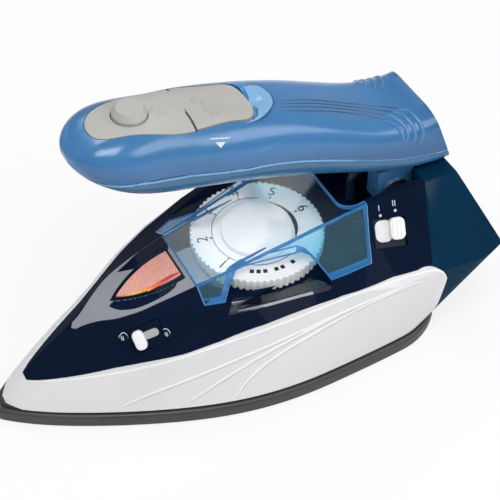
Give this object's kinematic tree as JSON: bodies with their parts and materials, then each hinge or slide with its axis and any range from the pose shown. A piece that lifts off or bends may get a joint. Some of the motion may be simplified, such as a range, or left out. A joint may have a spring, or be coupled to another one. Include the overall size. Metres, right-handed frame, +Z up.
{
  "type": "travel steam iron",
  "caption": "Compact steam iron with a folding clear water-tank handle, toothed temperature dial under a clear arched cover, steam and voltage sliders and a pump button.",
  "frame": {"origin": "on the sole's ironing face, on the mid plane, halfway between the sole's nose tip and its heel", "axes": "+X from the nose to the heel, +Z up from the ironing face, +Y to the iron's right-hand side seen from the heel"},
  "size_m": [0.1993, 0.098, 0.1306],
  "materials": {
    "sole_metal": "cast and ground, dark edge",
    "skirt_white": "smooth moulded",
    "body_navy": "polished moulded",
    "accent_grey": "satin moulded",
    "lens_amber": "clear moulded with a diamond pattern",
    "cover_blue": "clear moulded",
    "knob_white": "smooth moulded",
    "tank_blue": "clear tinted moulding",
    "base_blue": "smooth moulded",
    "pad_grey": "satin moulded",
    "seal_rubber": "moulded silicone",
    "steel": "turned",
    "element_steel": "heat-stained sheath",
    "lid_steel": "pressed sheet",
    "ceramic_white": "unglazed",
    "inner_plastic": "moulded",
    "tube_silicone": "extruded",
    "fuse_white": "woven glass sleeve",
    "lamp_glass": "clear bulb",
    "cup_plastic": "moulded"
  },
  "bodies": {
    "base": {"soleplate": "sole_metal", "skirt": "skirt_white", "body_shell": "body_navy", "rear_cover": "body_navy", "accent_trim": "accent_grey", "lamp_lens": "lens_amber", "dial_cover": "cover_blue", "slider_guide": "accent_grey", "voltage_switch": "inner_plastic", "indicator_lamp": "lamp_glass", "thermostat": "ceramic_white", "thermal_fuse": "fuse_white", "terminal_block": "ceramic_white", "steam_valve": "cup_plastic", "water_tube": "tube_silicone", "cord_bushing": "seal_rubber", "hinge_pins": "steel", "hinge_washers": "steel", "steam_chamber_lid": "lid_steel", "sole_gasket": "seal_rubber", "heating_element": "element_steel", "sole_screws": "steel"},
    "handle": {"handle_tank": "tank_blue", "handle_base": "base_blue", "tank_seal": "seal_rubber", "front_pad": "pad_grey", "pump_cylinder": "cup_plastic", "pump_spring": "steel"},
    "lid": {"filler_lid": "pad_grey", "lid_seal": "seal_rubber"},
    "button": {"steam_button": "pad_grey", "pump_piston": "inner_plastic"},
    "dial": {"temperature_dial": "knob_white", "dial_shaft": "steel"},
    "steam_control": {"steam_slider": "knob_white", "valve_arm": "inner_plastic"},
    "voltage_control": {"voltage_slider": "knob_white"}
  },
  "joints": [
    {"name": "handle_fold", "type": "hinge", "parent": "base", "child": "handle", "pos_m": [0.074, 0, 0.0575], "axis": [0, -1, 0], "range_deg": [0, 29]},
    {"name": "lid_hinge", "type": "hinge", "parent": "handle", "child": "lid", "pos_m": [-0.0064, 0, 0.1228], "axis": [0, -1, 0], "range_deg": [0, 70]},
    {"name": "pump_push", "type": "slide", "parent": "handle", "child": "button", "axis": [-0.0872, 0, -0.9962], "range_m": [0, 0.003], "stiffness_N_per_m": 250, "deforming": ["pump_spring"]},
    {"name": "dial_turn", "type": "hinge", "parent": "base", "child": "dial", "pos_m": [0.0228, 0, 0.041], "axis": [0, 0, 1], "range_deg": [-40, 240]},
    {"name": "steam_slide", "type": "slide", "parent": "base", "child": "steam_control", "axis": [0.8992, -0.2667, 0.3469], "range_m": [0, 0.0055]},
    {"name": "voltage_slide", "type": "slide", "parent": "base", "child": "voltage_control", "axis": [-0.9483, 0.3174, 0], "range_m": [0, 0.0056]}
  ]
}
